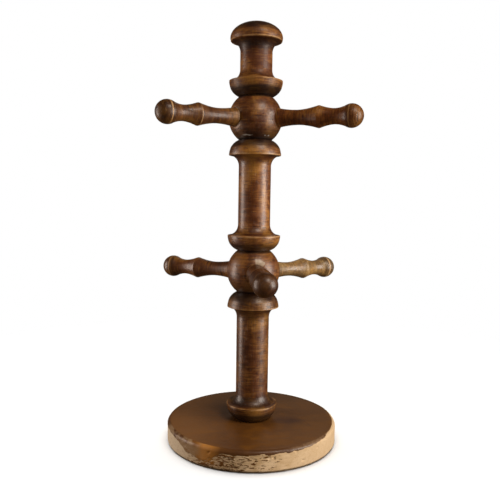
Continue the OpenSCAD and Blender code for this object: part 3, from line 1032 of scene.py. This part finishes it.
# Turn from the front in degrees: how high the bare wood reaches, from 0 at the bottom of the rim
# to 1 where its edge rounds over, how much finish is left in chips, and how thin or amber it is.
RIM_WEAR = np.array([
    [-180, 1.00, 0.50, 0.2, 0.0], [-150, 0.80, 0.60, 0.4, 0.3], [-120, 1.10, 0.25, 0.3, 0.0],
    [-85, 1.06, 0.00, 0.3, 0.0], [-68, 1.02, 0.00, 0.7, 0.0], [-57, 0.92, 0.02, 0.9, 0.0],
    [-50, 0.72, 0.16, 1.0, 0.0], [-46, 0.50, 0.30, 1.0, 0.1], [-38, 0.42, 0.48, 0.8, 0.3],
    [-31, 0.36, 0.58, 0.2, 1.0], [-25, 0.60, 0.60, 0.0, 0.7], [-19, 0.93, 0.54, 0.0, 0.1],
    [-6, 0.97, 0.47, 0.0, 0.0], [12, 1.02, 0.40, 0.0, 0.0], [24, 1.02, 0.26, 0.1, 0.0],
    [34, 1.04, 0.02, 0.2, 0.0],
    [45, 1.10, 0.00, 0.3, 0.0], [58, 1.18, 0.00, 0.4, 0.0], [72, 1.27, 0.00, 0.4, 0.1],
    [95, 1.27, 0.02, 0.4, 0.2], [125, 1.12, 0.20, 0.3, 0.1], [155, 0.85, 0.50, 0.3, 0.2],
    [180, 1.00, 0.50, 0.2, 0.0]])


def rim_wear(turn, height, points):
    """How bare, chipped, thin and amber the rim's finish is at a turn and a height. Bare wood
    fills the rim up to a smooth limit with a ragged edge, less the chips: where long low noise is
    above a level that falls as the share of chips grows."""
    limit, chipped, thin, amber = (np.interp(turn, RIM_WEAR[:, 0], RIM_WEAR[:, k]) for k in (1, 2, 3, 4))
    ragged = lumps(points, (3.2, 3.2, 2.4), 83, 3)
    long_chips = 0.9 * lumps(points, (4.6, 4.6, 0.85), 71, 2) + 0.45 * lumps(points, (9, 9, 3.4), 73, 2)
    open_wood = smooth_step(-0.045, 0.03, limit + (0.035 + 0.05 * chipped) * ragged - height)
    chips = smooth_step(0.0, 0.12, long_chips + 1.5 * (chipped - 0.95))
    patchy = smooth_step(-0.5, 0.3, lumps(points, (6, 6, 4), 91, 3))
    above = smooth_step(-0.35, 0.05, height - limit)
    return open_wood * (1 - chips), chipped, thin * patchy * above, amber * smooth_step(0.12, 0.4, height)


def base_outline():
    """The disc: a screw hole and socket on the axis, a chamfered bottom edge, an upright rim and a
    rounded top edge. It is a closed loop, since the hole runs through the middle."""
    socket_low = FOOT_TENON_LOW - HOLE_SPARE
    socket_r = FOOT_TENON_R + GLUE_GAP
    head_z = PAD_TOP + HEAD_RECESS
    turn = np.linspace(0, math.pi / 2, 14)
    edge_r = BASE_R - BASE_EDGE_R * (1 - np.cos(turn))
    edge_z = BASE_TOP - BASE_EDGE_R * (1 - np.sin(turn))
    return np.concatenate([
        [[SCREW_HOLE_R, socket_low], [SCREW_HOLE_R, head_z + SCREW_HEAD_H]],
        [[SCREW_HEAD_R, head_z], [SCREW_HEAD_R, PAD_TOP], [BASE_R - BASE_CHAMFER, PAD_TOP]],
        [[BASE_R, PAD_TOP + BASE_CHAMFER]],
        np.stack([edge_r, edge_z], 1),
        [[socket_r, BASE_TOP], [socket_r, socket_low]]])


def base_line():
    """Softens the base's closed outline with a bell curve and spaces its points: close together
    on the rim and far apart on the flat top and bottom. Gives radius, height and the normal."""
    outline = base_outline()
    closed = np.concatenate([outline, outline[:1]])
    length = np.concatenate([[0], np.cumsum(np.hypot(*np.diff(closed, axis=0).T))])
    s = np.linspace(0, length[-1], int(length[-1] / SAMPLE), endpoint=False)
    line = np.stack([np.interp(s, length, closed[:, k]) for k in (0, 1)], 1)
    side_n = 24
    bell = bell_curve(0.18, side_n)
    wrapped = np.concatenate([line[-side_n:], line, line[:side_n]])
    line = np.stack([np.convolve(wrapped[:, k], bell, "valid") for k in (0, 1)], 1)
    normal = normals(np.roll(line, -1, 0) - np.roll(line, 1, 0))[1]
    outer = smooth_step(BASE_R - 6, BASE_R - 3, line[:, 0])
    flat = np.abs(normal[:, 1])
    gap = 0.42 + 5.0 * (1 - outer) * flat + 1.3 * (1 - outer)
    rank = np.concatenate([[0], np.cumsum(SAMPLE / gap)])
    count = int(rank[-1])
    chosen = np.interp(np.arange(count) * rank[-1] / count, rank[:-1], s)
    return [np.interp(chosen, s, v) for v in (*line.T, *normal.T)]


def base_grid(around=880):
    """Rings of the base and its wear measures. Where the finish has flaked off, the surface sinks
    by the film's thickness, and it is nicked and scraped along the rim."""
    r, z, nr, nz = (v[:, None] for v in base_line())
    turn = circle(around)
    plain = turned_points(r + 0 * turn, z, turn)
    degrees = np.degrees(np.arctan2(plain[..., 0], -plain[..., 1]))
    height = (plain[..., 2] - PAD_TOP) / (BASE_TOP - BASE_EDGE_R - PAD_TOP)
    near_rim = smooth_step(BASE_R - 3.2, BASE_R - 2.2, r + 0 * turn)
    on_rim = near_rim * smooth_step(-0.2, 0.4, nr + 0 * turn)
    bare, chipped, thin, amber = (share * on_rim for share in rim_wear(degrees, height, plain))
    edge = smooth_step(0.9, 1.1, height) * on_rim
    film = 0.26 * smooth_step(0.35, 0.6, bare)
    scrape = 0.07 * bare * lumps(plain, (9, 9, 0.8), 61, 2)
    wave = 0.10 * lumps(plain, 60, 57, 2) * outer_share(r) + 0.05 * lumps(plain, (60, 14, 30), 59, 2)
    nick = 0.5 * smooth_step(0.75, 1.25, lumps(plain, (3.5, 3.5, 3.0), 67, 2)) * on_rim
    shift = (wave - film - scrape - nick - 0.02) * smooth_step(10, 14, r)
    grid = turned_points(r + nr * shift, z, turn)
    grid[..., 2] = z + nz * shift
    measures = {"bare": bare, "chips": chipped, "thin": thin, "amber": amber, "edge": edge}
    return grid, {**measures, "wear": 0.6 * nick}


def outer_share(r):
    """1 near the rim and 0 in the middle, so that the top stays flat under the post."""
    return smooth_step(BASE_R * 0.4, BASE_R, r)


def mesh_from_loop(name, rings):
    """A closed ring-shaped mesh from an array of rings whose last ring joins the first."""
    count, around = rings.shape[:2]
    row = np.arange(count)[:, None] * around
    up = np.roll(row, -1, 0)
    j = np.arange(around)
    nxt = (j + 1) % around
    quads = np.stack([row + j, row + nxt, up + nxt, up + j], -1).reshape(-1, 4)
    mesh = bpy.data.meshes.new(name)
    mesh.from_pydata(rings.reshape(-1, 3), [], quads)
    mesh.polygons.foreach_set("use_smooth", np.ones(len(quads), bool))
    mesh.update(calc_edges=True)
    return mesh


base_rings, rim_maps = base_grid()
base_mesh = mesh_from_loop("turned_base_disc", base_rings * MM)
for label, share in rim_maps.items():
    set_attribute(base_mesh, label, share)
object_from("turned_base_disc", base_mesh, "base_disc", base_wood("stain_base_disc"))

# ---------------------------------------------------------------- felt pad


def pad_grid(around=360):
    """A thin disc with rounded edges and a fibrous, slightly uneven skin."""
    edge = 0.35
    outline = np.concatenate([
        [[0, PAD_LOW], [PAD_R - edge, PAD_LOW]],
        [[PAD_R, PAD_LOW + edge], [PAD_R, PAD_TOP - edge], [PAD_R - edge, PAD_TOP], [0, PAD_TOP]]])
    r, z, nr, nz, _ = eased(outline, ease=0.12, near=0.16, far=1.4, hollow_scale=0.6)
    turn = circle(around)
    r, z, nr, nz = (v[:, None] for v in (r, z, nr, nz))
    plain = turned_points(r + 0 * turn, z, turn)
    fuzz = 0.05 * lumps(plain, (1.6, 1.6, 0.8), 43, 2) * smooth_step(0.1, 0.6, nr)
    grid = turned_points(r + nr * fuzz, z, turn)
    return grid * MM


object_from("pressed_felt_pad", mesh_from_rings("pressed_felt_pad", pad_grid()), "felt_pad", felt())

# ---------------------------------------------------------------- hidden CAD nodes


def refinish(nodes, material):
    for node in nodes:
        mesh = frame["nodes"][node].data
        mesh.materials.clear()
        mesh.materials.append(material)


refinish([n for n in frame["nodes"] if n.startswith("dowel_")], dowel_wood())
refinish(["base_screw"], screw_steel())

# ---------------------------------------------------------------- camera


# Place in metres, turns in degrees and lens in millimetres
CAMERA = {"place": (-0.0023, -0.5075, 0.2062), "yaw": -0.09, "down": 5.01, "roll": 0.78, "lens": 43.66}


def place_camera():
    """Camera in front, level with the middle of the upper column, looking slightly down."""
    yaw, pitch, roll = (math.radians(CAMERA[turn]) for turn in ("yaw", "down", "roll"))
    forward = np.array([math.sin(yaw) * math.cos(pitch), math.cos(yaw) * math.cos(pitch), -math.sin(pitch)])
    right = np.array([math.cos(yaw), -math.sin(yaw), 0])
    up = np.cross(right, forward)
    side = right * math.cos(roll) + up * math.sin(roll)
    top = -right * math.sin(roll) + up * math.cos(roll)
    data = bpy.data.cameras.new("camera")
    data.sensor_width = 36.0
    data.lens = CAMERA["lens"]
    data.clip_start = 0.01
    data.clip_end = 50.0
    camera = bpy.data.objects.new("camera", data)
    bpy.context.scene.collection.objects.link(camera)
    rows = [[side[k], top[k], -forward[k], CAMERA["place"][k]] for k in range(3)] + [[0, 0, 0, 1]]
    camera.matrix_world = Matrix(rows)
    bpy.context.scene.camera = camera


place_camera()

# ---------------------------------------------------------------- light and floor


def soft_light(name, turn, rise, distance, width, height, power, colour):
    """A rectangular light aimed at the middle of the post. turn is in degrees from the front,
    towards the right, and rise in degrees above level."""
    middle = np.array([0, 0, TOTAL_H * MM * 0.55])
    a, e = math.radians(turn), math.radians(rise)
    toward = np.array([math.sin(a) * math.cos(e), -math.cos(a) * math.cos(e), math.sin(e)])
    data = bpy.data.lights.new(name, "AREA")
    data.shape = "RECTANGLE"
    data.size = width
    data.size_y = height
    data.energy = power
    data.color = colour
    lamp = bpy.data.objects.new(name, data)
    bpy.context.scene.collection.objects.link(lamp)
    lamp.rotation_euler = Vector(-toward).to_track_quat("-Z", "Y").to_euler()
    lamp.location = middle + toward * distance
    return lamp


# Turn, rise, distance, width and height in metres, power in watts, and colour
SOFTBOXES = {
    "right_softbox": (70, 5, 1.1, 0.62, 0.80, 15.2, (1.0, 0.93, 0.85)),
    "left_softbox": (-94, 0, 1.2, 0.48, 0.95, 10.0, (1.0, 0.84, 0.74)),
    "front_softbox": (36, 46, 1.3, 0.50, 0.45, 7.5, (1.0, 0.90, 0.80)),
    "rear_softbox": (178, 32, 1.4, 0.60, 0.50, 0.45, (1.0, 0.92, 0.86)),
}
for name, settings in SOFTBOXES.items():
    soft_light(name, *settings)


def pale_world():
    """Pale behind the object, and a dim room for what it reflects."""
    world = bpy.data.worlds.new("studio")
    bpy.context.scene.world = world
    world.use_nodes = True
    nodes, links = world.node_tree.nodes, world.node_tree.links
    nodes.clear()
    out = nodes.new("ShaderNodeOutputWorld")
    choose = nodes.new("ShaderNodeMixShader")
    path = nodes.new("ShaderNodeLightPath")
    dim, pale = nodes.new("ShaderNodeBackground"), nodes.new("ShaderNodeBackground")
    dim.inputs[0].default_value = (0.060, 0.046, 0.030, 1)
    pale.inputs[0].default_value = (1.0, 1.0, 1.0, 1)
    links.new(path.outputs["Is Camera Ray"], choose.inputs[0])
    links.new(dim.outputs[0], choose.inputs[1])
    links.new(pale.outputs[0], choose.inputs[2])
    links.new(choose.outputs[0], out.inputs[0])


pale_world()


def pale_floor():
    """A wide round floor at the object's underside, lit by its own overhead light. It thins out
    to nothing away from the object, so that no horizon shows."""
    rings = np.array([[0.0], [0.1], [0.2], [0.3], [0.5], [0.8], [1.2]])
    turn = circle(96)
    points = turned_points(rings + 0 * turn, -0.00002, turn)
    under = points[-1:] * [0, 0, 1] - [0, 0, 0.02]
    mesh = mesh_from_rings("floor", np.concatenate([under, points[::-1]]))
    floor = bpy.data.objects.new("floor", mesh)
    bpy.context.scene.collection.objects.link(floor)
    m = Finish("pale_floor")
    place = m.node("ShaderNodeTexCoord").outputs["Object"]
    cloud = m.noise(place, (3.0, 3.0, 3.0), 2, 0.5)
    distance = m.node("ShaderNodeVectorMath", operation="LENGTH")
    m.put(distance.inputs[0], place)
    apart = m.node("ShaderNodeSeparateXYZ")
    m.put(apart.inputs[0], place)
    fade = m.between(distance.outputs["Value"], 0.16, 0.55, 1.0, 0.0)
    m.put(m.shader.inputs["Alpha"], m.times(fade, m.between(apart.outputs["Z"], -0.001, -0.0003)))
    mesh.materials.append(m.finish(m.blend((0.86, 0.86, 0.855), (0.88, 0.88, 0.875), cloud), 0.8))
    floor.visible_diffuse = False
    floor.visible_glossy = False
    only_floor = bpy.data.collections.new("only_floor")
    only_floor.objects.link(floor)
    data = bpy.data.lights.new("overhead", "SUN")
    data.energy = 4.1
    data.angle = math.radians(70)
    overhead = bpy.data.objects.new("overhead", data)
    bpy.context.scene.collection.objects.link(overhead)
    overhead.light_linking.receiver_collection = only_floor
    all_but_floor = bpy.data.collections.new("all_but_floor")
    all_but_floor.objects.link(floor)
    all_but_floor.collection_objects[0].light_linking.link_state = "EXCLUDE"
    for lamp in bpy.context.scene.objects:
        if lamp.type == "LIGHT" and lamp is not overhead:
            lamp.light_linking.receiver_collection = all_but_floor


pale_floor()
bpy.context.scene.view_settings.view_transform = "Standard"
